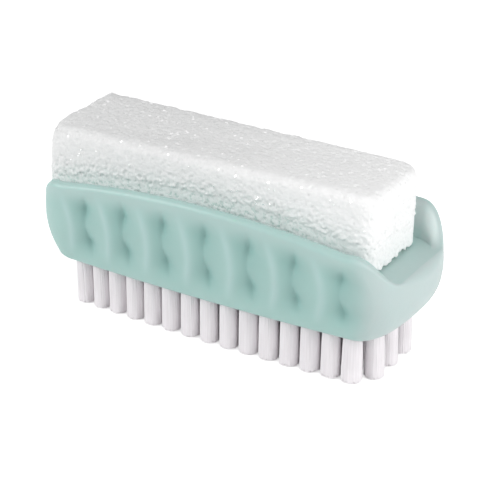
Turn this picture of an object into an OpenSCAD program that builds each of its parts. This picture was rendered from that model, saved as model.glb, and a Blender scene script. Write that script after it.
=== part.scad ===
// Nail brush: a moulded handle with wavy grip sides, five rows of staple-set bristle tufts
// underneath, and a pumice block glued into an open-ended tray on top.
// The bristle tips stand on Z = 0, the length runs along X and the width along Y.

/* [Tufts] */
// Number of tufts in each outer row
outer_tufts = 15; // [9:1:17]
// Distance between tufts along a row
tuft_pitch = 4.8; // [4.7:0.05:5.6]
// Distance from the middle row to the rows beside it
row_gap = 6.2; // [5.5:0.1:7]
// Distance from those rows to the outer rows at mid-length
outer_row_gap = 4.5; // [4.4:0.1:6]
// Free length of the bristles below the handle
bristle_l = 11.1; // [7:0.1:15]
// Diameter of the tuft holes
hole_d = 2.8; // [2.4:0.1:3.2]
// Depth of the tuft holes
hole_depth = 6.5; // [5:0.1:8]
// Diameter of a tuft at its tip
tip_d = 4.3; // [3.6:0.1:4.5]
// How far all tips lean along the rows, from holes that are set back as far
comb_lean = 0.8; // [0:0.1:1]
// Outward lean of the outer rows at their tips
tip_lean = 0.4; // [0:0.1:0.8]
// Inward lean of the end tufts of the outer rows at their tips
end_lean = 0.6; // [0:0.1:0.7]
// Strands round the middle strand of each tuft
ring_strands = 5; // [4:1:5]
// Width of a strand at its root
strand_root_w = 0.62; // [0.4:0.02:0.7]
// Width of a strand at its tip
strand_tip_w = 1.15; // [0.6:0.05:1.2]
// Distance from the outer strands to the side of the tuft where it leaves its hole
strand_inset = 0.15; // [0.1:0.05:0.3]
// How far the strands run into the bundle in the hole
strand_seat = 0.6; // [0.3:0.1:1.5]

/* [Anchors] */
// Width of the flat wire anchor across the tuft hole
anchor_w = 3.6; // [3.4:0.1:4]
// Thickness of the anchor
anchor_t = 0.5; // [0.3:0.05:0.8]
// Height of the anchor
anchor_h = 1.8; // [1.2:0.1:2.5]
// Thickness of the fold of the bundle over its anchor
fold_t = 0.9; // [0.6:0.1:1.5]
// Clearance of bundles and anchors in their holes
fit_gap = 0.05; // [0.02:0.01:0.1]

/* [Handle] */
// Distance from the last tuft of an inner row to the end of the underside
row_end_margin = 3.65; // [3.5:0.05:7]
// Distance from an outer row to the side of the underside at mid-length
row_margin = 4.45; // [2.5:0.05:6]
// Length of the round ends of the underside, past the grip sides
end_curve_l = 6.5; // [5.5:0.1:9]
// How far each end swells out from the underside to the rim
end_flare = 4.5; // [3:0.1:8]
// How far each side swells out from the underside to the rim
side_flare = 3.2; // [2:0.1:6]
// How far the sides draw in from mid-length to where the round ends begin
side_bow = 0.95; // [0.2:0.05:1.2]
// Height of the tray floor above the underside
floor_h = 12.35; // [10:0.05:18]
// Height of the side walls above the tray floor at mid-length
wall_h = 9.75; // [7:0.05:14]
// Drop of the side walls from mid-length to where the round ends begin
rim_drop = 2.95; // [0.5:0.05:4]
// Radius of the rounded top of the walls
crown_r = 1.2; // [0.9:0.1:1.6]
// Radius of that round where the walls have come down to the tray floor
ear_r = 0.4; // [0.3:0.1:0.8]
// Width of the rounded edge of the tray floor at the middle of each end
lip_w = 1.95; // [1:0.05:2.5]
// Width of the side walls where they meet the tray floor
wall_foot_w = 5.65; // [4.5:0.05:7]
// Distance from the tray's outline to the handle's end
tray_end_w = 2.75; // [2.2:0.05:4]
// Width of the inner slope of the walls at the corners of the tray
ear_slope_w = 0.45; // [0.3:0.05:0.8]
// What is added to the radius of those corners at the worn end, as far as the block leaves room
shelf_corner_r = 5.2; // [0:0.1:7]
// Radius of the edge round the underside
base_edge_r = 0.7; // [0.3:0.1:1.2]

/* [Grip] */
// Number of hollows along each side
grip_cells = 7; // [4:1:10]
// Depth of the hollows
grip_depth = 1.8; // [0.5:0.1:2.2]
// Length of the row of hollows
grip_l = 70.7; // [56:0.1:72]
// Distance from mid-length to the middle of the row of hollows
grip_shift = 2; // [0:0.1:2.4]
// Smooth band left below the hollows
grip_base = 1.6; // [1:0.1:4]
// Smooth band left between the hollows and the rounded top
grip_top = 0.3; // [0.1:0.1:3]
// Sideways sway of the ridges at mid-height
grip_sway = 1.9; // [0:0.1:2.2]

/* [Pumice block] */
// Height of the block over the adhesive
block_h = 17.75; // [11:0.05:25]
// Clearance from the block to the walls, where they come nearest
block_gap = 0.2; // [0.15:0.05:1]
// Length of the tray floor left bare in front of the worn end of the block
shelf_l = 4.8; // [3:0.1:8]
// Radius of the block's top edges
block_edge_r = 1.8; // [0.8:0.1:4]
// Radius of the upright corners where they reach the flat top
block_corner_r = 0.5; // [0.3:0.1:2]
// What wear adds to the radius of one upright corner
worn_corner_r = 3; // [0:0.1:5]
// How far wear lowers the top at that corner
worn_h = 0.8; // [0:0.1:2]
// How far wear lowers the top at the other corners, but for one that keeps its height
top_fall = 1.4; // [0:0.1:2.5]

/* [Adhesive] */
// Thickness of the adhesive under the block
bed_t = 0.8; // [0.5:0.1:1.5]
// Depth of the recess in the tray floor that holds the adhesive
recess_depth = 0.4; // [0.2:0.1:0.8]
// Distance from the block's side to the edge of the adhesive
bed_inset = 1; // [0.5:0.1:3]
// Corner radius of the adhesive
bed_corner_r = 3; // [1:0.1:5]

/* [Hidden] */
$fn = 48;

// Overrun of cuts past the faces that they open
overrun = 0.6;

// Underside, grown from the rows of tufts
outer_row_y = row_gap + outer_row_gap;
base_l = outer_tufts * tuft_pitch + 2 * row_end_margin;
base_w = 2 * (outer_row_y + row_margin);
// Half the length of the grip sides, where the round ends begin
side_half = base_l / 2 - end_curve_l;
// Rim and tray
handle_l = base_l + 2 * end_flare;
rim_w = base_w + 2 * side_flare;
rim_h = floor_h + wall_h;
tray_l = handle_l - 2 * tray_end_w;
tray_w = rim_w - 2 * wall_foot_w;
floor_z = bristle_l + floor_h;
// Adhesive and block
recess_z = floor_z - recess_depth;
block_z = recess_z + bed_t;
block_top = block_z + block_h;
block_l = tray_l - shelf_l - block_gap;
block_x = (block_gap - shelf_l) / 2;
block_w = tray_w - 2 * (side_bow + block_gap);
bed_l = block_l - 2 * bed_inset;
bed_w = block_w - 2 * bed_inset;

// Steps along one hollow, round one end, up the grip and round a corner of the block
cell_steps = 10;
end_steps = 24;
grip_steps = 13;
corner_steps = 5;
// Steps along each side of the block
block_steps = 8;
// Turn from the straight side, in degrees, where the wall begins and ends its fall to the
// tray floor, where its top begins to narrow, and where its foot leaves the corner of the tray
fall_from = 3.5;
fall_to = 58;
narrow_from = 12;
corner_to = 50;
// How late the wall falls
fall_lag = 1.43;
// How the ends and the sides swell from the underside to the rim
end_swell = 3;
side_swell = 2;
// How square the round ends are at the underside and at the rim
base_square = 0.66;
rim_square = 0.96;
// Place of the deepest line in a hollow, from ridge to ridge, at its ends and at mid-height
trough_share = 0.67;
trough_mid_share = 0.33;
// How a hollow deepens from its ridges to that line: 1 is straight, 2 is rounded at the ridges
crease_power = 1.35;
// Depth that is left at mid-height of a hollow, and the part of its height in which it starts
saddle_share = 0.62;
grip_fade_share = 0.3;
// Places across the wall top and down the inner wall, as [share of width, share of height]
inner_shares = [[0.25, 0.95], [0.55, 0.76], [0.82, 0.43], [1, 0]];
// Places along and across the block where its top begins to wear, from the middle to the side
wear_shares = [0.3, -0.2];

function smooth(t) = let (c = min(1, max(0, t))) c * c * (3 - 2 * c);

// Stations round the handle: [start of the end curve or place along the side, cosine, sine]
side_steps = grip_cells * cell_steps;
stations = concat(
    [for (i = [0:side_steps]) [-side_half + 2 * side_half * i / side_steps, 0, -1]],
    [for (i = [1:end_steps - 1]) let (a = -90 + 180 * i / end_steps) [side_half, cos(a), sin(a)]],
    [for (i = [0:side_steps]) [side_half - 2 * side_half * i / side_steps, 0, 1]],
    [for (i = [1:end_steps - 1]) let (a = 90 + 180 * i / end_steps) [-side_half, cos(a), sin(a)]]);

// Turn from the straight side at a station, in degrees
function turn(s) = asin(min(1, abs(s[1])));

// Top of the wall at a station, above the underside, and the radius that rounds it
function wall_top(s) =
    let (side = rim_h - rim_drop * pow(s[0] / side_half, 2),
         way = min(1, max(0, (turn(s) - fall_from) / (fall_to - fall_from))))
    side + (floor_h - side) * smooth(pow(way, fall_lag));
function top_r(s) =
    max(crown_r + (ear_r - crown_r) * smooth((turn(s) - narrow_from) / (fall_to - narrow_from)),
        abs(rim_inset(s, 0)[0]) - handle_l / 2 + lip_w);

// Depth of the grip at place x along a side and height z above the underside, below height high
function grip(x, z, high) =
    let (u = (z - grip_base) / (high - grip_top - grip_base),
         mid = u > 0 && u < 1 ? sin(180 * u) : 0,
         way = (x - grip_shift - grip_sway * mid) / grip_l + 1 / 2,
         q = grip_cells * min(1, max(0, way)),
         f = q - floor(q),
         c = trough_share + (trough_mid_share - trough_share) * mid,
         across = f < c ? f / c : (1 - f) / (1 - c),
         ends = smooth(u / grip_fade_share) * smooth((1 - u) / grip_fade_share))
    u <= 0 || u >= 1 ? 0
    : grip_depth * pow(across, crease_power) * ends * (1 - (1 - saddle_share) * pow(mid, 6));

// A point on an outline of half-length a and half-width b, with ends of squareness k
function bend(v, k) = sign(v) * pow(abs(v), k);
function bow(s) = side_bow * pow(s[0] / side_half, 2);
function outline(s, a, b, k) = [s[0] + (a - side_half) * bend(s[1], k), bend(s[2], k) * (b - bow(s))];

// The underside's outline, and the rim's, drawn in by w
function base_inset(s, w) = outline(s, base_l / 2 - w, base_w / 2 - w, base_square);
function rim_inset(s, w) = outline(s, handle_l / 2 - w, rim_w / 2 - w, rim_square);

// Outer surface at height z above the underside, which meets the rounded top at height high
function outer(s, z, high) =
    let (u = min(1, max(0, z / high)),
         depth = grip((s[2] < 0 ? 1 : -1) * rim_inset(s, 0)[0], z, high),
         a = base_l / 2 + end_flare * (1 - pow(1 - u, end_swell)),
         b = base_w / 2 + side_flare * (1 - pow(1 - u, side_swell)))
    outline(s, a - depth, b - depth, base_square + (rim_square - base_square) * u);

// Radius of the corners of the tray, which leaves the walls their inner slope beside them
corner_station = [side_half, cos(45), cos(45)];
corner_top = rim_inset(corner_station, top_r(corner_station));
tray_corner_r = max(crown_r, (tray_l / 2 + tray_w / 2 - side_bow - corner_top[0] - corner_top[1]
    + 2 * cos(45) * ear_slope_w) / (2 - 2 * cos(45)));

// Where the walls meet the tray floor: the corners begin no nearer than the block's own corners end
function corner_r(s) = s[1] > 0
    ? max(tray_corner_r, min(tray_corner_r + shelf_corner_r, block_r + shelf_l)) : tray_corner_r;
function foot(s) = s[1] == 0 ? [s[0], s[2] * (tray_w / 2 - bow(s))]
    : [sign(s[1]) * (tray_l / 2 - corner_r(s) * (1 - abs(s[1]))),
       sign(s[2]) * ((tray_w / 2 - side_bow - corner_r(s)) * min(1, abs(s[2]) / cos(corner_to))
            + corner_r(s) * abs(s[2]))];

function base_ring(a) =
    [for (s = stations) concat(base_inset(s, base_edge_r * (1 - sin(a))),
        bristle_l + base_edge_r * (1 - cos(a)))];
function outer_ring(k) =
    [for (s = stations)
        let (high = wall_top(s) - top_r(s), z = base_edge_r + (high - base_edge_r) * k / grip_steps)
        concat(outer(s, z, high), bristle_l + z)];
function crown_ring(a) =
    [for (s = stations) concat(rim_inset(s, top_r(s) * (1 - cos(a))),
        bristle_l + wall_top(s) - top_r(s) * (1 - sin(a)))];
function inner_ring(share) =
    [for (s = stations)
        let (start = rim_inset(s, top_r(s)))
        concat(start + (foot(s) - start) * share[0],
            bristle_l + floor_h + (wall_top(s) - floor_h) * share[1])];

// Triangles between neighbouring rings of n points, and from the end rings to their middles
function skin(rows, n) = concat(
    [for (j = [0:rows - 2], i = [0:n - 1]) [j * n + i, (j + 1) * n + (i + 1) % n, j * n + (i + 1) % n]],
    [for (j = [0:rows - 2], i = [0:n - 1]) [j * n + i, (j + 1) * n + i, (j + 1) * n + (i + 1) % n]],
    [for (i = [0:n - 1]) [i, (i + 1) % n, rows * n]],
    [for (i = [0:n - 1]) [(rows - 1) * n + (i + 1) % n, (rows - 1) * n + i, rows * n + 1]]);

module loft(rings) {
    rows = len(rings);
    middles = [for (ring = [rings[0], rings[rows - 1]]) [0, 0, ring[0][2]]];
    polyhedron(points = concat([for (ring = rings) each ring], middles), faces = skin(rows, len(rings[0])));
}

// Places of the tips along a row: row 3 is the middle one, and the inner rows have one more
function row_side(row) = sign(row - 3);
function is_outer(row) = row == 1 || row == 5;
function row_count(row) = is_outer(row) ? outer_tufts : outer_tufts + 1;
function tuft_x(row, i) = (i - (row_count(row) - 1) / 2) * tuft_pitch;
function tuft_y(row, x) =
    row_side(row) * (is_outer(row) ? outer_row_y - side_bow * pow(x / side_half, 2) : row_gap);

// How far the tips lean from their holes
function lean(row, x) = [comb_lean, 0] + (is_outer(row)
    ? [-end_lean * pow(x / tuft_x(row, outer_tufts - 1), 3), row_side(row) * tip_lean] : [0, 0]);

module at_tufts(row) {
    for (i = [0:row_count(row) - 1]) {
        x = tuft_x(row, i);
        translate([x - comb_lean, tuft_y(row, x), bristle_l]) children();
    }
}

// The anchor's place across a tuft hole, grown by a clearance
module anchor_bar(gap = 0) {
    translate([0, 0, hole_depth - fold_t - anchor_h / 2])
        cube([anchor_w + 2 * gap, anchor_t + 2 * gap, anchor_h + 2 * gap], center = true);
}

module tuft_hole() {
    translate([0, 0, -overrun]) cylinder(d = hole_d, h = hole_depth + overrun);
    anchor_bar(fit_gap);
}

module rounded_plate(l, w, h, r) {
    linear_extrude(h) {
        square([l - 2 * r, w], center = true);
        square([l, w - 2 * r], center = true);
        for (x = [-1, 1], y = [-1, 1]) translate([x * (l / 2 - r), y * (w / 2 - r)]) circle(r);
    }
}

module handle_body() {
    color([0.64, 0.80, 0.76])
    difference() {
        difference() {
            loft(concat(
                [for (a = [0, 45]) base_ring(a)],
                [for (k = [0:grip_steps]) outer_ring(k)],
                [for (a = [30:30:90]) crown_ring(a)],
                [for (share = inner_shares) inner_ring(share)]));
            translate([block_x, 0, recess_z])
                rounded_plate(bed_l + 2 * fit_gap, bed_w + 2 * fit_gap, recess_depth + overrun, bed_corner_r);
        }
        for (row = [1:5]) at_tufts(row) tuft_hole();
    }
}

module adhesive_bed() {
    color([0.90, 0.91, 0.86])
    translate([block_x, 0, recess_z]) rounded_plate(bed_l, bed_w, bed_t, bed_corner_r);
}

// Stations round the block: [middle of a corner's curve along X and Y, its radius, direction]
function corner(sx, sy, from, r) =
    [for (i = [0:corner_steps])
        [block_x + sx * (block_l / 2 - r), sy * (block_w / 2 - r), r, from + 90 * i / corner_steps]];
block_r = block_edge_r + block_corner_r;
heel_r = max(block_r, tray_corner_r - block_gap);
block_corners = [corner(1, -1, -90, block_r), corner(1, 1, 0, block_r + worn_corner_r),
    corner(-1, 1, 90, heel_r), corner(-1, -1, 180, heel_r)];
function between(p, q) =
    [for (i = [1:block_steps - 1]) [for (j = [0:2]) p[j] + (q[j] - p[j]) * i / block_steps]];
block_stations = [for (c = [0:3])
    let (next = block_corners[(c + 1) % 4], last = block_corners[c][corner_steps])
    each concat(block_corners[c], [for (m = between(last, next[0])) concat(m, last[3])])];

// How far the top is worn down at a point
function wear(x, y) =
    let (along = 2 * (x - block_x) / block_l, across = 2 * y / block_w)
    worn_h * smooth(along - wear_shares[0]) * smooth(across - wear_shares[1])
        + top_fall * (1 - (1 - along) * (1 + across) / 4);
function block_ring(in, z, worn = 0) =
    [for (s = block_stations) let (x = s[0] + (s[2] - in) * cos(s[3]), y = s[1] + (s[2] - in) * sin(s[3]))
        [x, y, z - worn * wear(x, y)]];

module pumice_block() {
    color([0.92, 0.92, 0.92])
    loft(concat(
        [block_ring(0, block_z)],
        [for (a = [0:22.5:90])
            block_ring(block_edge_r * (1 - cos(a)), block_top - block_edge_r * (1 - sin(a)), 1)]));
}

// One strand: four sides, from a square root inside the bundle to a wider flat tip on the ground
function strand_points(root, tip, angle) =
    [for (end = [[root, strand_root_w, bristle_l + strand_seat], [tip, strand_tip_w, 0]], k = [0:3])
        let (a = angle + 45 + 90 * k, r = end[1] / 2 / cos(45))
        [end[0][0] + r * cos(a), end[0][1] + r * sin(a), end[2]]];
strand_faces = [[0, 2, 1], [0, 3, 2], [4, 5, 6], [4, 6, 7],
    [0, 1, 5], [0, 5, 4], [1, 2, 6], [1, 6, 5], [2, 3, 7], [2, 7, 6], [3, 0, 4], [3, 4, 7]];

module strand(root, tip, angle) {
    polyhedron(points = strand_points(root, tip, angle), faces = strand_faces);
}

// The bundle in the hole, folded over its anchor, with the strands fused to its lower end
module tuft(place, reach) {
    plug_d = hole_d - 2 * fit_gap;
    translate([place[0], place[1], bristle_l])
        difference() {
            cylinder(d = plug_d, h = hole_depth - fit_gap);
            anchor_bar(fit_gap);
        }
    strand(place, place + reach, 0);
    root_r = (plug_d - strand_root_w) / 2 - strand_inset;
    tip_r = (tip_d - strand_tip_w) / 2;
    for (k = [0:ring_strands - 1])
        let (a = 360 * k / ring_strands, out = [cos(a), sin(a)])
        strand(place + root_r * out, place + reach + tip_r * out, a);
}

module bristle_row(row) {
    color([0.93, 0.91, 0.92])
    for (i = [0:row_count(row) - 1]) {
        x = tuft_x(row, i);
        tuft([x - comb_lean, tuft_y(row, x)], lean(row, x));
    }
}

module anchor_row(row) {
    color([0.72, 0.73, 0.75])
    at_tufts(row) anchor_bar();
}

module bristle_row_1() { bristle_row(1); }
module bristle_row_2() { bristle_row(2); }
module bristle_row_3() { bristle_row(3); }
module bristle_row_4() { bristle_row(4); }
module bristle_row_5() { bristle_row(5); }
module anchor_row_1() { anchor_row(1); }
module anchor_row_2() { anchor_row(2); }
module anchor_row_3() { anchor_row(3); }
module anchor_row_4() { anchor_row(4); }
module anchor_row_5() { anchor_row(5); }

handle_body();
pumice_block();
adhesive_bed();
bristle_row_1();
bristle_row_2();
bristle_row_3();
bristle_row_4();
bristle_row_5();
anchor_row_1();
anchor_row_2();
anchor_row_3();
anchor_row_4();
anchor_row_5();
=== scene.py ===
"""Looks of the nail brush: moulded handle, granular pumice block, and tufts of fine filaments."""

import math
import random

import bpy
import numpy as np
from mathutils import Matrix, Vector, noise
from mathutils.kdtree import KDTree

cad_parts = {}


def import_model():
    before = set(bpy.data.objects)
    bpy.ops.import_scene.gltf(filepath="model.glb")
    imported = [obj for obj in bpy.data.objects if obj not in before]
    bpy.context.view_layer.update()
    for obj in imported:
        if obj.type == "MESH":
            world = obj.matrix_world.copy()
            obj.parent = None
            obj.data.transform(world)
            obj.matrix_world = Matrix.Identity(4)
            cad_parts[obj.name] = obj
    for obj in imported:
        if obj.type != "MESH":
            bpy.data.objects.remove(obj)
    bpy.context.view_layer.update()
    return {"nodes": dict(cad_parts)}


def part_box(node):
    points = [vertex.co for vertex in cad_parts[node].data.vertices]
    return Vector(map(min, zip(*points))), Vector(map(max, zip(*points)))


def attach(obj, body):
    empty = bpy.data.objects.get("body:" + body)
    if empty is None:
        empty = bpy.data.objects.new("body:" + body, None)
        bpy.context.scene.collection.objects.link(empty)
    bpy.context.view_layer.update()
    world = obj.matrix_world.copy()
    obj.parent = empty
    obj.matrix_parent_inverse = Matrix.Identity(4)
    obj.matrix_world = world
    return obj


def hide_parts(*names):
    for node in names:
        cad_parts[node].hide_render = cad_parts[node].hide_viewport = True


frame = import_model()
MM = 0.001

# Sizes in millimetres, as in the part's source
TUFTS, PITCH, ROW_GAP, OUTER_GAP = 15, 4.8, 6.2, 4.5
BRISTLE_L, HOLE_D, TIP_D = 11.1, 2.8, 4.3
COMB_LEAN, TIP_LEAN, END_LEAN = 0.8, 0.4, 0.6
ROW_END, ROW_SIDE, END_CURVE = 3.65, 4.45, 6.5
END_FLARE, SIDE_FLARE, BOW = 4.5, 3.2, 0.95
FLOOR_H, WALL_H, RIM_DROP = 12.35, 9.75, 2.95
CROWN_R, EAR_R, LIP_W = 1.2, 0.4, 1.95
WALL_FOOT, TRAY_END, EAR_SLOPE, SHELF_R = 5.65, 2.75, 0.45, 5.2
EDGE_R = 0.7
CELLS, DEPTH, GRIP_L, GRIP_SHIFT, GRIP_BASE, GRIP_TOP, SWAY = 7, 1.8, 70.7, 2, 1.6, 0.3, 1.9
BLOCK_H, BLOCK_GAP, SHELF_L, BLOCK_EDGE, BLOCK_R = 17.75, 0.2, 4.8, 1.8, 0.5
WORN_R, WORN_H, TOP_FALL = 3, 0.8, 1.4
BED_T, RECESS = 0.8, 0.4

# Turns in degrees, powers and shares, as in the part's source
FALL_FROM, FALL_TO, FALL_LAG, NARROW_FROM, CORNER_TO = 3.5, 58, 1.43, 12, 50
END_SWELL, SIDE_SWELL, BASE_SQUARE, RIM_SQUARE = 3, 2, 0.66, 0.96
TROUGH, TROUGH_MID, CREASE, SADDLE, GRIP_FADE = 0.67, 0.33, 1.35, 0.62, 0.3
WEAR_ALONG, WEAR_ACROSS = 0.3, -0.2

OUTER_Y = ROW_GAP + OUTER_GAP
BASE_A = TUFTS * PITCH / 2 + ROW_END
BASE_B = OUTER_Y + ROW_SIDE
HALF = BASE_A - END_CURVE
RIM_A, RIM_B = BASE_A + END_FLARE, BASE_B + SIDE_FLARE
TRAY_A, TRAY_B = RIM_A - TRAY_END, RIM_B - WALL_FOOT
FLOOR_Z = BRISTLE_L + FLOOR_H
BLOCK_Z = FLOOR_Z - RECESS + BED_T
BLOCK_TOP = BLOCK_Z + BLOCK_H
BLOCK_X = (BLOCK_GAP - SHELF_L) / 2
BLOCK_A = (2 * TRAY_A - SHELF_L - BLOCK_GAP) / 2
BLOCK_B = TRAY_B - BOW - BLOCK_GAP


def smooth(t):
    t = np.clip(t, 0, 1)
    return t * t * (3 - 2 * t)


def ramp(v, start, length):
    """Rises smoothly from 0 at start to 1 after length."""
    return smooth((v - start) / length)


# Mesh helpers


def new_object(name, points, faces, mat):
    mesh = bpy.data.meshes.new(name)
    mesh.from_pydata([tuple(p) for p in np.asarray(points) * MM], [], faces)
    mesh.validate()
    mesh.update()
    mesh.materials.append(mat)
    mesh.shade_smooth()
    obj = bpy.data.objects.new(name, mesh)
    bpy.context.scene.collection.objects.link(obj)
    return obj


def ring_faces(rows, n):
    """Quads between rings of n points, then one flat face on each end ring."""
    faces = [
        (j * n + i, j * n + (i + 1) % n, (j + 1) * n + (i + 1) % n, (j + 1) * n + i)
        for j in range(rows - 1)
        for i in range(n)
    ]
    return faces + [tuple(range(n - 1, -1, -1)), tuple(range((rows - 1) * n, rows * n))]


def point_tone(mesh, name, values):
    mesh.attributes.new(name, "FLOAT", "POINT").data.foreach_set("value", values)


# Materials: lengths in metres, scales per metre


class Nodes:
    """A short way to write a node material: one node per call, inputs by name."""

    def __init__(self, name):
        self.mat = bpy.data.materials.new(name)
        self.mat.use_nodes = True
        self.tree = self.mat.node_tree
        self.shader = self.tree.nodes["Principled BSDF"]
        self.coord = self.tree.nodes.new("ShaderNodeTexCoord").outputs["Object"]

    def add(self, kind, props=None, **inputs):
        """Inputs are named with _ for spaces, or numbered i0, i1 and so on."""
        node = self.tree.nodes.new("ShaderNode" + kind)
        for key, value in (props or {}).items():
            setattr(node, key, value)
        for key, value in inputs.items():
            numbered = key[0] == "i" and key[1:].isdigit()
            self.put(node.inputs[int(key[1:]) if numbered else key.replace("_", " ")], value)
        return node

    def put(self, socket, value):
        if isinstance(value, bpy.types.NodeSocket):
            self.tree.links.new(value, socket)
        else:
            socket.default_value = value

    def attribute(self, name):
        return self.add("Attribute", {"attribute_name": name}).outputs["Fac"]

    def scaled(self, x, y, z):
        return self.add("Mapping", Vector=self.coord, Scale=(x, y, z)).outputs["Vector"]

    def noise(self, scale, detail=3, rough=0.5, vector=None):
        place = vector or self.coord
        node = self.add("TexNoise", Vector=place, Scale=scale, Detail=detail, Roughness=rough)
        return node.outputs["Fac"]

    def remap(self, value, a, b, c=0, d=1):
        """Turns a range from a to b into one from c to d, and holds it there beyond."""
        return self.add("MapRange", Value=value, i1=a, i2=b, i3=c, i4=d).outputs["Result"]

    def even(self, value, c=0, d=1):
        """Spreads the middle of a noise from c to d."""
        return self.remap(value, 0.3, 0.7, c, d)

    def times(self, a, b):
        return self.add("Math", {"operation": "MULTIPLY"}, i0=a, i1=b).outputs[0]

    def times_plus(self, a, b, c):
        return self.add("Math", {"operation": "MULTIPLY_ADD"}, i0=a, i1=b, i2=c).outputs[0]

    def mix(self, fac, a, b):
        a, b = ((*colour, 1) if isinstance(colour, tuple) else colour for colour in (a, b))
        return self.add("Mix", {"data_type": "RGBA"}, i0=fac, i6=a, i7=b).outputs[2]

    def bump(self, height, strength, distance, normal=None):
        node = self.add("Bump", Height=height, Strength=strength, Distance=distance)
        if normal:
            self.put(node.inputs["Normal"], normal)
        return node.outputs["Normal"]

    def finish(self, **sockets):
        for key, value in sockets.items():
            self.put(self.shader.inputs[key.replace("_", " ")], value)
        return self.mat


MINT = (0.37, 0.575, 0.54), (0.40, 0.60, 0.565)
# Painted sheen and highlight on the plastic, and a stronger painted highlight on the far ear
PAINTED_LIGHT_MINT, EAR_HIGHLIGHT_MINT = (0.515, 0.62, 0.61), (0.68, 0.775, 0.76)
# Painted shade in the hollows and at the left end, and a painted highlight on the ridges
PAINTED_SHADE_MINT, RIDGE_HIGHLIGHT_MINT = (0.27, 0.47, 0.44), (0.44, 0.625, 0.605)
# Values of the painted light between which the far ear's painted highlight grows lighter still
EAR_HIGHLIGHT_FROM, EAR_HIGHLIGHT_TO = 1, 2.5


def plastic():
    n = Nodes("mint_plastic")
    broad = n.noise(scale=60, detail=2)
    fine = n.noise(scale=900, detail=4, rough=0.6)
    colour = n.mix(n.even(broad), *MINT)
    # Painted sheen and highlight on the rounded top, under the rim, on the inner wall and at the
    # right end
    colour = n.mix(n.attribute("painted_light"), colour, PAINTED_LIGHT_MINT)
    # A stronger painted highlight on the far ear
    colour = n.mix(n.remap(n.attribute("painted_light"), EAR_HIGHLIGHT_FROM, EAR_HIGHLIGHT_TO), colour, EAR_HIGHLIGHT_MINT)
    # Painted shade in the hollows and over the left end
    colour = n.mix(n.attribute("painted_shade"), colour, PAINTED_SHADE_MINT)
    # Painted highlight on the ridges
    colour = n.mix(n.attribute("ridge"), colour, RIDGE_HIGHLIGHT_MINT)
    return n.finish(
        Base_Color=colour,
        Roughness=n.even(fine, 0.36, 0.48),
        Normal=n.bump(fine, strength=0.12, distance=0.0003),
        Subsurface_Weight=0.25,
        Subsurface_Radius=(0.5, 1.0, 0.9),
        Subsurface_Scale=0.002,
        IOR=1.46,
        Coat_Weight=0.1,
        Coat_Roughness=0.12,
    )


GREY_STONE, WHITE_STONE = (0.80, 0.805, 0.805), (0.91, 0.91, 0.91)
# The dark of the pores is painted shade
# The stone lighter toward the right end is painted light
LIT_END_STONE, PORE_SHADE, CRYSTAL = (0.98, 0.98, 0.98), (0.42, 0.43, 0.43), (0.97, 0.97, 0.97)
TINT = (0.58, 0.735, 0.69), (0.96, 0.99, 0.98)
# Places along X between which painted light makes the stone whiter, and those where the tint by the
# rim fades
END_LIGHT_FROM, END_LIGHT_TO, END_LIGHT_SHARE = -0.01, 0.035, 0.9
TINT_FADE_FROM, TINT_FADE_TO, TINT_LEFT = 0.022, 0.036, 0.1
# Heights at mid-length where the tint is full and where it ends, and how much its edge wanders
TINT_FULL, TINT_END, TINT_WANDER, TINT_SHARE = 0.0335, 0.0380, 0.004, 0.75
# Fall of the rim, and of the tint with it, for one metre squared along X
TINT_DROP = 2.68


def pumice():
    n = Nodes("pumice_stone")
    grains = n.noise(scale=1100, detail=5, rough=0.7)
    pores = n.add("TexVoronoi", Vector=n.coord, Scale=520.0).outputs["Distance"]
    place = n.add("SeparateXYZ", Vector=n.coord).outputs
    over_rim = n.times_plus(n.times(place["X"], place["X"]), TINT_DROP, place["Z"])
    over_rim = n.times_plus(n.noise(scale=700), TINT_WANDER, over_rim)
    fade = n.remap(place["X"], TINT_FADE_FROM, TINT_FADE_TO, 1, TINT_LEFT)
    near = n.times(n.remap(over_rim, TINT_FULL, TINT_END, 1, 0), fade)
    tone = n.mix(n.even(grains), GREY_STONE, WHITE_STONE)
    # Painted light: the stone whiter toward the right end
    tone = n.mix(n.remap(place["X"], END_LIGHT_FROM, END_LIGHT_TO, 0, END_LIGHT_SHARE), tone, LIT_END_STONE)
    tint = n.mix(n.remap(grains, 0.38, 0.48), *TINT)
    tone = n.mix(n.times(near, TINT_SHARE), tone, tint)
    # Painted shade in the pores
    tone = n.mix(n.remap(pores, 0.0, 0.2, 0.3, 0), tone, PORE_SHADE)
    spark = n.remap(n.attribute("crystal"), 0.35, 0.5)
    normal = n.bump(grains, strength=0.5, distance=0.0005)
    return n.finish(
        Base_Color=n.mix(spark, tone, CRYSTAL),
        Metallic=spark,
        Roughness=n.remap(spark, 0, 1, 0.85, 0.08),
        Normal=n.bump(pores, strength=0.3, distance=0.0004, normal=normal),
    )


NYLON = (0.86, 0.82, 0.845), (0.93, 0.895, 0.92)


def bristle():
    n = Nodes("bristle_nylon")
    streak = n.noise(scale=1, detail=2, vector=n.scaled(3500, 3500, 60))
    return n.finish(
        Base_Color=n.mix(n.even(streak), *NYLON),
        Roughness=n.even(streak, 0.35, 0.5),
    )


GLUE = (0.74, 0.75, 0.66), (0.82, 0.82, 0.74)


def adhesive():
    n = Nodes("adhesive_bead")
    lumps = n.noise(scale=400)
    return n.finish(
        Base_Color=n.mix(n.even(lumps), *GLUE),
        Roughness=n.even(lumps, 0.3, 0.5),
        Normal=n.bump(lumps, strength=0.4, distance=0.0003),
    )


STEEL = (0.42, 0.43, 0.45), (0.56, 0.57, 0.60)


def wire():
    n = Nodes("anchor_wire")
    drawn = n.noise(scale=1, rough=0.6, vector=n.scaled(200, 6000, 6000))
    return n.finish(
        Base_Color=n.mix(n.even(drawn), *STEEL),
        Metallic=1.0,
        Roughness=n.even(drawn, 0.25, 0.4),
        Normal=n.bump(drawn, strength=0.2, distance=0.00005),
    )


# Handle

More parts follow.
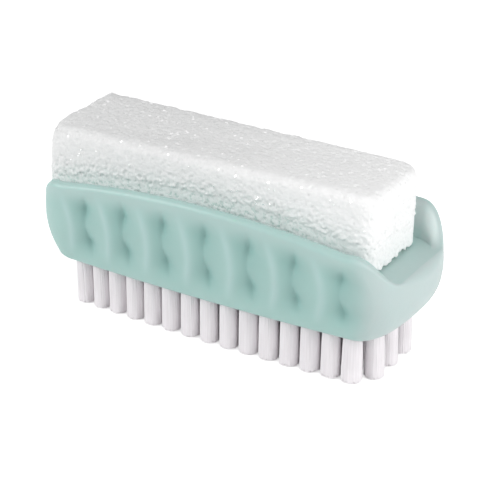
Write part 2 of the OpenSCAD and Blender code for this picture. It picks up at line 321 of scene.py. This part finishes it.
# Depth of the groove along the deepest line of a hollow, and its share of the hollow's width
GROOVE, GROOVE_W = 0.25, 0.15
# Share of a hollow's width covered by the painted highlight on ridges, and how it fades with the
# hollows
RIDGE_HIGHLIGHT_W, RIDGE_HIGHLIGHT_POWER = 0.09, 0.6
# Power by which the inner wall curves from its rounded top down to the tray floor
INNER_POWER = 0.75
# Painted light under the rim, on the rounded top and on the inner wall, and that wall's share of it
UNDER_RIM_LIGHT, TOP_LIGHT, INNER_LIGHT, INNER_LIGHT_SHARE = 0.4, 0.25, 0.5, 0.6
# Share of the height at which the painted light under the rim starts
UNDER_RIM_FROM = 0.75
# Millimetres from the middle at which the painted sheen of the right end starts, and over which it
# grows; the same for the painted shade of the left end and for the painted highlight of the far ear
END_SHEEN_FROM, END_SHEEN_OVER = 32, 8
LEFT_SHADE_FROM, LEFT_SHADE_OVER, LEFT_SHADE_TONE = 34, 8, 0.7
EAR_FROM, EAR_OVER, EAR_HIGHLIGHT = 28, 7, 3
# The same for the far ear's painted highlight across the width, as shares of the half width
EAR_SIDE_FROM, EAR_SIDE_OVER = 0.5, 0.4
# Power by which the painted shade follows the depth of a hollow
SHADE_POWER = 0.8


def bend(v, k):
    return np.sign(v) * np.abs(v) ** k


def handle_stations(side_steps=300, end_steps=120):
    """Round the handle: start of the end curve or place along the side, cosine and sine."""
    u = np.linspace(-HALF, HALF, side_steps)
    a = np.radians(np.linspace(-90, 90, end_steps)[1:-1])
    one = np.ones_like(u)
    s = np.concatenate(
        [
            np.stack([u, 0 * u, -one], 1),
            np.stack([HALF + 0 * a, np.cos(a), np.sin(a)], 1),
            np.stack([-u, 0 * u, one], 1),
            np.stack([-HALF + 0 * a, -np.cos(a), -np.sin(a)], 1),
        ]
    )
    return s[:, 0], s[:, 1], s[:, 2]


S0, S1, S2 = handle_stations()
TURN = np.degrees(np.arcsin(np.clip(np.abs(S1), 0, 1)))
BOWED = BOW * (S0 / HALF) ** 2
ALONG = S0 + (RIM_A - HALF) * S1


def outline(a, b, k):
    """Half-length a, half-width b and ends of squareness k."""
    return np.stack([S0 + (a - HALF) * bend(S1, k), bend(S2, k) * (b - BOWED)], 1)


def wall_top():
    side = FLOOR_H + WALL_H - RIM_DROP * (S0 / HALF) ** 2
    way = np.clip((TURN - FALL_FROM) / (FALL_TO - FALL_FROM), 0, 1)
    return side + (FLOOR_H - side) * smooth(way**FALL_LAG)


def top_radius(turn):
    """Radius of the rounded wall top, which narrows toward the ends."""
    return CROWN_R + (EAR_R - CROWN_R) * ramp(turn, NARROW_FROM, FALL_TO - NARROW_FROM)


TOP = wall_top()
RIM_X = outline(RIM_A, RIM_B, RIM_SQUARE)[:, 0]
TOP_R = np.maximum(top_radius(TURN), np.abs(RIM_X) - RIM_A + LIP_W)
HIGH = TOP - TOP_R


def grip(z):
    """Depth of the hollows at height z above the underside, and the painted highlight on ridges
    there.
    """
    x = np.where(S2 < 0, 1, -1) * RIM_X
    u = (z - GRIP_BASE) / (HIGH - GRIP_TOP - GRIP_BASE)
    mid = np.where((u > 0) & (u < 1), np.sin(np.pi * u), 0)
    cell = CELLS * ((x - GRIP_SHIFT - SWAY * mid) / GRIP_L + 0.5)
    q = np.clip(cell, 0, CELLS)
    f = q - np.floor(q)
    c = TROUGH + (TROUGH_MID - TROUGH) * mid
    across = np.where(f < c, f / c, (1 - f) / (1 - c))
    ends = smooth(u / GRIP_FADE) * smooth((1 - u) / GRIP_FADE)
    crease = np.exp(-(((1 - across) / GROOVE_W) ** 2))
    groove = GROOVE * crease * np.sin(2 * np.pi * np.clip(u, 0, 1)) ** 2
    saddle = 1 - (1 - SADDLE) * np.clip(mid, 0, 1) ** 6
    depth = (DEPTH * across**CREASE + groove) * ends * saddle
    away = cell - np.clip(np.round(cell), 0, CELLS - 1)
    return depth, np.exp(-((away / RIDGE_HIGHLIGHT_W) ** 2)) * np.clip(ends, 0, 1) ** RIDGE_HIGHLIGHT_POWER


def foot():
    """Where the walls meet the tray floor."""
    t = math.radians(45)
    r45 = float(top_radius(45))
    b45 = math.cos(t) ** RIM_SQUARE
    corner = HALF + (RIM_A - r45 - HALF) * b45 + (RIM_B - r45 - BOW) * b45
    reach = TRAY_A + TRAY_B - BOW - corner + 2 * math.cos(t) * EAR_SLOPE
    r = max(CROWN_R, reach / (2 - 2 * math.cos(t)))
    r = np.where(S1 > 0, min(r + SHELF_R, BLOCK_EDGE + BLOCK_R + SHELF_L), r)
    x = np.where(S1 == 0, S0, np.sign(S1) * (TRAY_A - r * (1 - np.abs(S1))))
    share = np.minimum(1, np.abs(S2) / math.cos(math.radians(CORNER_TO)))
    end_y = (TRAY_B - BOW - r) * share + r * np.abs(S2)
    y = np.where(S1 == 0, S2 * (TRAY_B - BOWED), np.sign(S2) * end_y)
    return np.stack([x, y], 1)


def handle(side_rings=56, inner_rings=14):
    """Rings from the underside up, over the wall top and down to the tray floor."""
    # Painted light and shade for each point, kept as tones that the plastic reads
    rings, painted_tones = [], {"painted_light": [], "painted_shade": [], "ridge": []}
    # Painted shade over the left end
    left_end_shade = LEFT_SHADE_TONE * ramp(-ALONG, LEFT_SHADE_FROM, LEFT_SHADE_OVER)

    def ring(xy, z, light_tone=0.0, depth=0.0, ridge=0.0, share=1.0):
        rings.append(np.concatenate([xy, (BRISTLE_L + z + 0 * S0)[:, None]], 1))
        painted_tones["painted_light"].append(share * np.maximum(light_tone, ramp(ALONG, END_SHEEN_FROM, END_SHEEN_OVER)))
        painted_tones["painted_shade"].append(np.maximum(np.clip(depth, 0, 1) ** SHADE_POWER, left_end_shade))
        painted_tones["ridge"].append(ridge + 0 * S0)

    for a in np.radians([0, 30, 60]):
        w = EDGE_R * (1 - math.sin(a))
        ring(outline(BASE_A - w, BASE_B - w, BASE_SQUARE), EDGE_R * (1 - math.cos(a)))
    for k in np.linspace(0, 1, side_rings):
        z = EDGE_R + (HIGH - EDGE_R) * k
        u = np.clip(z / HIGH, 0, 1)
        d, ridge = grip(z)
        a = BASE_A + END_FLARE * (1 - (1 - u) ** END_SWELL) - d
        b = BASE_B + SIDE_FLARE * (1 - (1 - u) ** SIDE_SWELL) - d
        xy = outline(a, b, BASE_SQUARE + (RIM_SQUARE - BASE_SQUARE) * u)
        ring(xy, z, UNDER_RIM_LIGHT * ramp(u, UNDER_RIM_FROM, 1 - UNDER_RIM_FROM), d / DEPTH, ridge)
    for a in np.radians([15, 30, 45, 60, 75, 90]):
        w = TOP_R * (1 - math.cos(a))
        ring(outline(RIM_A - w, RIM_B - w, RIM_SQUARE), TOP - TOP_R * (1 - math.sin(a)), TOP_LIGHT)
    start, end = outline(RIM_A - TOP_R, RIM_B - TOP_R, RIM_SQUARE), foot()
    # Painted highlight on the inner face of the far ear
    far_ear_highlight = EAR_HIGHLIGHT * ramp(ALONG, EAR_FROM, EAR_OVER) * ramp(S2, EAR_SIDE_FROM, EAR_SIDE_OVER)
    for w in np.linspace(0, 1, inner_rings)[1:]:
        z = FLOOR_H + (TOP - FLOOR_H) * (1 - w**2) ** INNER_POWER
        share = INNER_LIGHT_SHARE + far_ear_highlight * math.sin(math.pi * w)
        ring(start + (end - start) * w, z, INNER_LIGHT, share=share)
    obj = new_object("handle", np.concatenate(rings), ring_faces(len(rings), len(S0)), plastic())
    for name, values in painted_tones.items():
        point_tone(obj.data, name, np.concatenate(values))
    for face in list(obj.data.polygons)[-2:]:
        face.use_smooth = False
    return obj


# Pumice block: lengths in millimetres, scales per millimetre

VOXEL, QUICK_VOXEL = 0.00025, 0.00036  # metres
# Grain: scale and height of its two sizes
COARSE_SCALE, COARSE_H, FINE_SCALE, FINE_H = 1.5, 0.45, 3.1, 0.35
# Height of the grain, its share well above the rim, and what it gains from there down to the rim
GRAIN_H, GRAIN_PLAIN, GRAIN_RIM, RIM_REACH = 0.4, 0.5, 1.6, 4
# Pores: scale, width as a share of a cell, and depth
PORE_SCALE, PORE_W, PORE_H = 0.7, 0.35, 0.9
# Wear of the edges: reach, share inside the tray, depth, what the worn end has less and where
# that starts and how far it grows, then the noise in it and its scale
EDGE_REACH, EDGE_HIDDEN, EDGE_WEAR, EDGE_LESS = 1.5, 0.3, 0.8, 0.5
EDGE_LESS_FROM, EDGE_LESS_OVER, EDGE_NOISE, EDGE_SCALE = 5, 25, 0.6, 0.45
# Depth and reach of the wear of the top corner at the left end of the front
HEEL_WEAR, HEEL_REACH = 2.0, 3.4
# Crumbling at the foot of the worn end: reach, depth, and the noise in it and its scale
CRUMB_REACH, CRUMB_H, CRUMB_NOISE, CRUMB_SCALE = 1.5, 0.35, 1.2, 0.9
# How far the surface may rise from the plain block above the rim and in the tray, and how far sink
RISE, RISE_HIDDEN, SINK = 0.45, 0.12, 3
# What the surface is raised by so that the grain lies evenly about it
LEVEL = 0.22
# Crystals: number, radius and its spread, height, and seed of the random draws
CRYSTALS, CRYSTAL_R, CRYSTAL_SPREAD, CRYSTAL_H, CRYSTAL_SEED = 450, 0.37, (0.7, 1.2), 0.15, 11
# Their radius on the top and on the sides, as a share, and the height where the top starts
TOP_CRYSTAL, SIDE_CRYSTAL, TOP_FACE = 1.35, 0.75, 38.5


def block_outline(inset, steps=14):
    """Round the block: one corner is worn and has a larger radius."""
    r = BLOCK_EDGE + BLOCK_R
    corners = (1, -1, -90, r), (1, 1, 0, r + WORN_R), (-1, 1, 90, r), (-1, -1, 180, r)
    points = []
    for sx, sy, start, radius in corners:
        for i in range(steps + 1):
            t = math.radians(start + 90 * i / steps)
            c = radius - inset
            x = BLOCK_X + sx * (BLOCK_A - radius) + c * math.cos(t)
            points.append((x, sy * (BLOCK_B - radius) + c * math.sin(t)))
    return np.array(points)


def wear(x, y):
    """How far the top is lowered: all over but at one corner, and more at the worn one."""
    along, across = (x - BLOCK_X) / BLOCK_A, y / BLOCK_B
    corner = WORN_H * smooth(along - WEAR_ALONG) * smooth(across - WEAR_ACROSS)
    return corner + TOP_FALL * (1 - (1 - along) * (1 + across) / 4)


def block():
    xy = block_outline(0)
    rings = [np.column_stack([xy, BLOCK_Z + 0 * xy[:, 0]])]
    for a in np.radians(np.linspace(0, 90, 8)):
        xy = block_outline(BLOCK_EDGE * (1 - math.cos(a)))
        z = BLOCK_TOP - BLOCK_EDGE * (1 - math.sin(a)) - wear(xy[:, 0], xy[:, 1])
        rings.append(np.column_stack([xy, z]))
    obj = new_object("pumice", np.concatenate(rings), ring_faces(len(rings), len(xy)), pumice())
    remesh = obj.modifiers.new("grain", "REMESH")
    remesh.mode, remesh.use_smooth_shade = "VOXEL", True
    remesh.voxel_size = VOXEL
    bpy.context.view_layer.objects.active = obj
    obj.select_set(True)
    bpy.ops.object.modifier_apply(modifier="grain")
    roughen(obj.data)
    return obj


def crystals(co):
    """How near each point is to the middle of a crystal, from 0 to 1; none lies within the tray."""
    rng = random.Random(CRYSTAL_SEED)
    tree = KDTree(len(co))
    for i, p in enumerate(co):
        tree.insert(p, i)
    tree.balance()
    bead = np.zeros(len(co))
    for _ in range(CRYSTALS):
        middle = co[rng.randrange(len(co))]
        size = CRYSTAL_R * MM * rng.uniform(*CRYSTAL_SPREAD)
        size *= TOP_CRYSTAL if middle[2] > TOP_FACE * MM else SIDE_CRYSTAL
        if middle[2] > (FLOOR_Z + WALL_H) * MM:
            for _, i, away in tree.find_range(middle, size):
                bead[i] = max(bead[i], 1 - away / size)
    return bead


def grain(v, rim):
    """Lumps, coarser near the rim, and pores."""
    coarse = GRAIN_PLAIN + GRAIN_RIM * min(1, max(0, 1 - (v.z - rim) / RIM_REACH))
    lumps = noise.noise(v * COARSE_SCALE) * COARSE_H + noise.noise(v * FINE_SCALE) * FINE_H
    pit = max(0.0, PORE_W - noise.voronoi(v * PORE_SCALE)[0][0]) * PORE_H
    return GRAIN_H * coarse * lumps + pit


def worn(v, rim):
    """Wear of the edges and of one top corner."""
    top = BLOCK_TOP - TOP_FALL / 2
    heel = Vector((BLOCK_X - BLOCK_A, -BLOCK_B, top))
    near = sorted((BLOCK_A - abs(v.x - BLOCK_X), BLOCK_B - abs(v.y), top - v.z))[:2]
    edge = math.exp(-max(0.0, sum(near)) / EDGE_REACH) * (1.0 if v.z > rim else EDGE_HIDDEN)
    less = EDGE_LESS * float(ramp(v.x, EDGE_LESS_FROM, EDGE_LESS_OVER))
    edge *= EDGE_WEAR - less + EDGE_NOISE * noise.noise(v * EDGE_SCALE)
    return edge + HEEL_WEAR * math.exp(-(((v - heel).length / HEEL_REACH) ** 2))


def crumbled(v):
    """What has crumbled away at the foot of the worn end."""
    if v.x < BLOCK_X + BLOCK_A - CRUMB_REACH:
        return 0.0
    uneven = CRUMB_H + CRUMB_NOISE * noise.noise(v * CRUMB_SCALE)
    return math.exp((BLOCK_Z - v.z) / CRUMB_REACH) * uneven


def roughen(mesh):
    """Moves each point along its normal: grain, pores, wear, crumbs and crystals."""
    co, no = np.empty(len(mesh.vertices) * 3), np.empty(len(mesh.vertices) * 3)
    mesh.vertices.foreach_get("co", co)
    mesh.vertex_normals.foreach_get("vector", no)
    co, no = co.reshape(-1, 3), no.reshape(-1, 3)
    depth = np.empty(len(co))
    for i, p in enumerate(co):
        v = Vector(p) / MM
        rim = FLOOR_Z + WALL_H - RIM_DROP * (v.x / HALF) ** 2
        rise = RISE if v.z > rim else RISE_HIDDEN
        depth[i] = min(SINK, max(-rise, grain(v, rim) + worn(v, rim) + crumbled(v) - LEVEL))
    bead = crystals(co)
    co += no * (CRYSTAL_H * bead - depth)[:, None] * MM
    point_tone(mesh, "crystal", bead)
    co[:, 2] = np.clip(co[:, 2], BLOCK_Z * MM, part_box("pumice_block")[1][2])
    mesh.vertices.foreach_set("co", co.ravel())
    mesh.update()


# Tufts: lengths in millimetres

# Filaments in the skin and in the core of a tuft, and sides and steps of each
SKIN, CORE, SIDES, STEPS = 54, 56, 5, 5
GOLDEN_ANGLE, CORE_SHARE = 2.39996, 0.88
# How far inside a tuft's edge the filaments' middles stay, at the hole and at the tip
ROOT_INSET, TIP_INSET = 0.2, 0.3
# Radius of a filament, its share at the root, and how far it runs into the hole
FILAMENT_R, ROOT_SHARE, SEAT = (0.25, 0.28), 0.7, 0.4
# Powers by which a tuft spreads below its hole, and its steps in height gather at the root
SPREAD, GATHER = 0.3, 2
# Uneven ends: root of the largest random rise, and how much higher the skin ends than the core
UNEVEN, ROUND_END = 0.75, 0.22
# Uneven skin: jitter of the angles and of the radius, and two waves round the tuft
ANGLE_JITTER, RADIUS_JITTER, WAVE_2, WAVE_3 = 0.25, 0.02, 0.03, 0.025


def row_points(row):
    """Middle of each hole in a row, and how far the tuft's tip lies from it."""
    side, outer = np.sign(row - 3), row in (1, 5)
    count = TUFTS if outer else TUFTS + 1
    last = (TUFTS - 1) / 2 * PITCH
    for i in range(count):
        x = (i - (count - 1) / 2) * PITCH
        y = side * (OUTER_Y - BOW * (x / HALF) ** 2 if outer else ROW_GAP)
        lean = (COMB_LEAN, 0)
        if outer:
            lean = (COMB_LEAN - END_LEAN * (x / last) ** 3, side * TIP_LEAN)
        yield np.array([x - COMB_LEAN, y]), np.array(lean)


def tuft_row(row):
    """Bundles of filaments: a close ring of them round a looser core."""
    rng = random.Random(row)
    points, faces = [], []
    for place, lean in row_points(row):
        fold, twist = rng.uniform(0, math.tau), rng.uniform(0, math.tau)
        for k in range(SKIN + CORE):
            if k < SKIN:
                angle = math.tau * (k + rng.uniform(-ANGLE_JITTER, ANGLE_JITTER)) / SKIN
                share = 1 + WAVE_2 * math.sin(2 * angle + fold)
                share += WAVE_3 * math.sin(3 * angle + twist)
                share += rng.uniform(-RADIUS_JITTER, RADIUS_JITTER)
            else:
                angle = k * GOLDEN_ANGLE
                share = CORE_SHARE * math.sqrt((k - SKIN + 0.5) / CORE)
            out = np.array([math.cos(angle), math.sin(angle)])
            root = place + out * share * (HOLE_D / 2 - ROOT_INSET)
            tip = place + lean + out * share * (TIP_D / 2 - TIP_INSET)
            low = rng.uniform(0, UNEVEN) ** 2 + ROUND_END * share**4
            radius = rng.uniform(*FILAMENT_R)
            base = len(points)
            for j in range(STEPS + 1):
                way = j / STEPS
                c = root + (tip - root) * way**SPREAD
                z = BRISTLE_L + SEAT + (low - BRISTLE_L - SEAT) * way**GATHER
                w = radius * (ROOT_SHARE + (1 - ROOT_SHARE) * way)
                for m in range(SIDES):
                    a = angle + math.tau * m / SIDES
                    points.append((c[0] + w * math.cos(a), c[1] + w * math.sin(a), z))
            for j in range(STEPS):
                for m in range(SIDES):
                    p, q = base + j * SIDES + m, base + j * SIDES + (m + 1) % SIDES
                    faces.append((q, p, p + SIDES, q + SIDES))
            faces.append(tuple(base + STEPS * SIDES + m for m in range(SIDES)))
    return new_object(f"tufts_{row}", points, faces, BRISTLE)


# The object

BRISTLE = bristle()
body = handle()
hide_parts("handle_body")
stone = block()
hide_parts("pumice_block")
pieces = [body, stone]
for row in range(1, 6):
    tufts = tuft_row(row)
    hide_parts(f"bristle_row_{row}")
    pieces.append(tufts)
for piece in pieces:
    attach(piece, "root")

WIRE, BED = wire(), adhesive()
for name, node in frame["nodes"].items():
    if name.startswith("anchor_row") or name == "adhesive_bed":
        node.data.materials.clear()
        node.data.materials.append(BED if name == "adhesive_bed" else WIRE)

# Camera, fitted to the photograph, and studio: lengths in metres, angles in degrees

CAMERA_AZIMUTH, CAMERA_ELEVATION, CAMERA_ROLL = 31.93, 24.745, 0.108
CAMERA_AWAY, CAMERA_RIGHT, CAMERA_UP = 0.3002, 0.00044, 0.01697
FOCAL_PIXELS, IMAGE_PIXELS, SENSOR = 1386.24, 480, 36
LAMPS_AIM = 0.02
FLOOR_HALF, FLOOR_GREY, FLOOR_GLOW, WORLD_LIGHT = 3, 0.86, 0.55, 0.44


def toward(azimuth, elevation):
    """Direction from the object; azimuth 0 is in front of it and 90 at its right end."""
    a, e = math.radians(azimuth), math.radians(elevation)
    return Vector((math.sin(a) * math.cos(e), -math.cos(a) * math.cos(e), math.sin(e)))


def camera():
    a, roll = math.radians(CAMERA_AZIMUTH), math.radians(CAMERA_ROLL)
    back = toward(CAMERA_AZIMUTH, CAMERA_ELEVATION)
    right = Vector((math.cos(a), math.sin(a), 0))
    up = back.cross(right)
    r = right * math.cos(roll) + up * math.sin(roll)
    u = up * math.cos(roll) - right * math.sin(roll)
    data = bpy.data.cameras.new("camera")
    data.lens, data.sensor_width = FOCAL_PIXELS / IMAGE_PIXELS * SENSOR, SENSOR
    data.clip_start, data.clip_end = 0.01, 10
    obj = bpy.data.objects.new("camera", data)
    place = back * CAMERA_AWAY + r * CAMERA_RIGHT + u * CAMERA_UP
    obj.matrix_world = Matrix.Translation(place) @ Matrix((r, u, back)).transposed().to_4x4()
    bpy.context.scene.collection.objects.link(obj)
    bpy.context.scene.camera = obj


def area(name, size, energy, azimuth, elevation, distance):
    data = bpy.data.lights.new(name, "AREA")
    data.shape, data.size, data.energy = "DISK", size, energy
    obj = bpy.data.objects.new(name, data)
    back = toward(azimuth, elevation)
    obj.location = Vector((0, 0, LAMPS_AIM)) + back * distance
    obj.rotation_euler = back.to_track_quat("Z", "Y").to_euler()
    bpy.context.scene.collection.objects.link(obj)


def seen(tree):
    """1 for the camera's rays and for those mirrored or passed on to it, otherwise 0."""
    path = tree.nodes.new("ShaderNodeLightPath").outputs
    value = path["Is Camera Ray"]
    for key in ("Is Glossy Ray", "Is Transmission Ray"):
        larger = tree.nodes.new("ShaderNodeMath")
        larger.operation = "MAXIMUM"
        tree.links.new(value, larger.inputs[0])
        tree.links.new(path[key], larger.inputs[1])
        value = larger.outputs[0]
    return value


def floor():
    n = Nodes("floor")
    n.finish(Base_Color=(FLOOR_GREY, FLOOR_GREY, FLOOR_GREY, 1), Roughness=0.9)
    glow = n.add("Emission", Color=(1, 1, 1, 1), Strength=n.times(seen(n.tree), FLOOR_GLOW))
    both = n.add("AddShader", i0=n.shader.outputs[0], i1=glow.outputs[0])
    n.put(n.tree.nodes["Material Output"].inputs["Surface"], both.outputs[0])
    mesh = bpy.data.meshes.new("floor")
    corners = [(x * FLOOR_HALF, y * FLOOR_HALF, 0) for x, y in ((-1, -1), (1, -1), (1, 1), (-1, 1))]
    mesh.from_pydata(corners, [], [(0, 1, 2, 3)])
    mesh.materials.append(n.mat)
    obj = bpy.data.objects.new("floor", mesh)
    bpy.context.scene.collection.objects.link(obj)


def world(strength):
    """Lights the object by this strength, and is seen as plain white."""
    w = bpy.data.worlds.new("studio")
    bpy.context.scene.world = w
    w.use_nodes = True
    tree = w.node_tree
    gain = tree.nodes.new("ShaderNodeMapRange")
    gain.inputs[3].default_value, gain.inputs[4].default_value = strength, 1.0
    tree.links.new(seen(tree), gain.inputs[0])
    ground = tree.nodes["Background"]
    ground.inputs["Color"].default_value = (1, 1, 1, 1)
    tree.links.new(gain.outputs[0], ground.inputs["Strength"])


camera()
floor()
world(WORLD_LIGHT)
area("right", size=0.25, energy=0.61, azimuth=79, elevation=28, distance=0.35)
area("left", size=0.3, energy=1.55, azimuth=-44, elevation=25, distance=0.6)
bpy.context.scene.view_settings.view_transform = "Standard"
